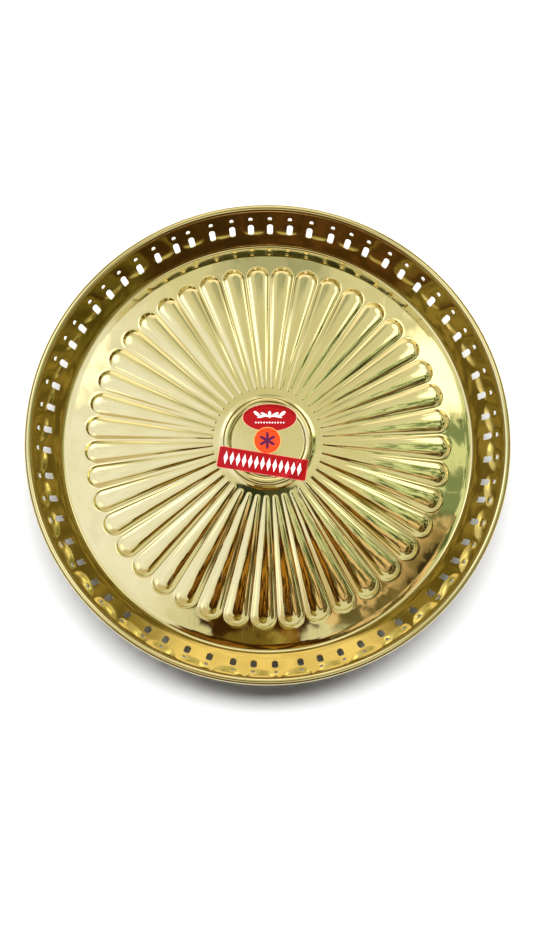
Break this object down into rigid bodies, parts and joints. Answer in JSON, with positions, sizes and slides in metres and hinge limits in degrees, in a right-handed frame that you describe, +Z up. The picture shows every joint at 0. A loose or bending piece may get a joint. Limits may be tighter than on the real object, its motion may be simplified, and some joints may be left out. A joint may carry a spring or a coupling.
{
  "type": "serving tray",
  "caption": "Round pressed brass serving tray: flat floor with raised petals and a boss bead, a flared wall pierced with slots and round holes, and an edge rolled over a wire.",
  "frame": {"origin": "centre of the face that the tray rests on", "axes": "+Z up, out of the tray's mouth; +Y towards the edge that the oval label is nearest; +X to the right"},
  "size_m": [0.305, 0.305, 0.031],
  "materials": {
    "brass_sheet": "polished, with faint turning marks",
    "wire": "plain drawn wire, hidden in the rolled edge",
    "red_label": "glossy printed paper",
    "orange_label": "satin printed paper"
  },
  "bodies": {
    "root": {"tray_pan": "brass_sheet", "rim_wire": "wire", "label_oval": "red_label", "label_round": "orange_label", "label_strip": "red_label"}
  },
  "joints": []
}
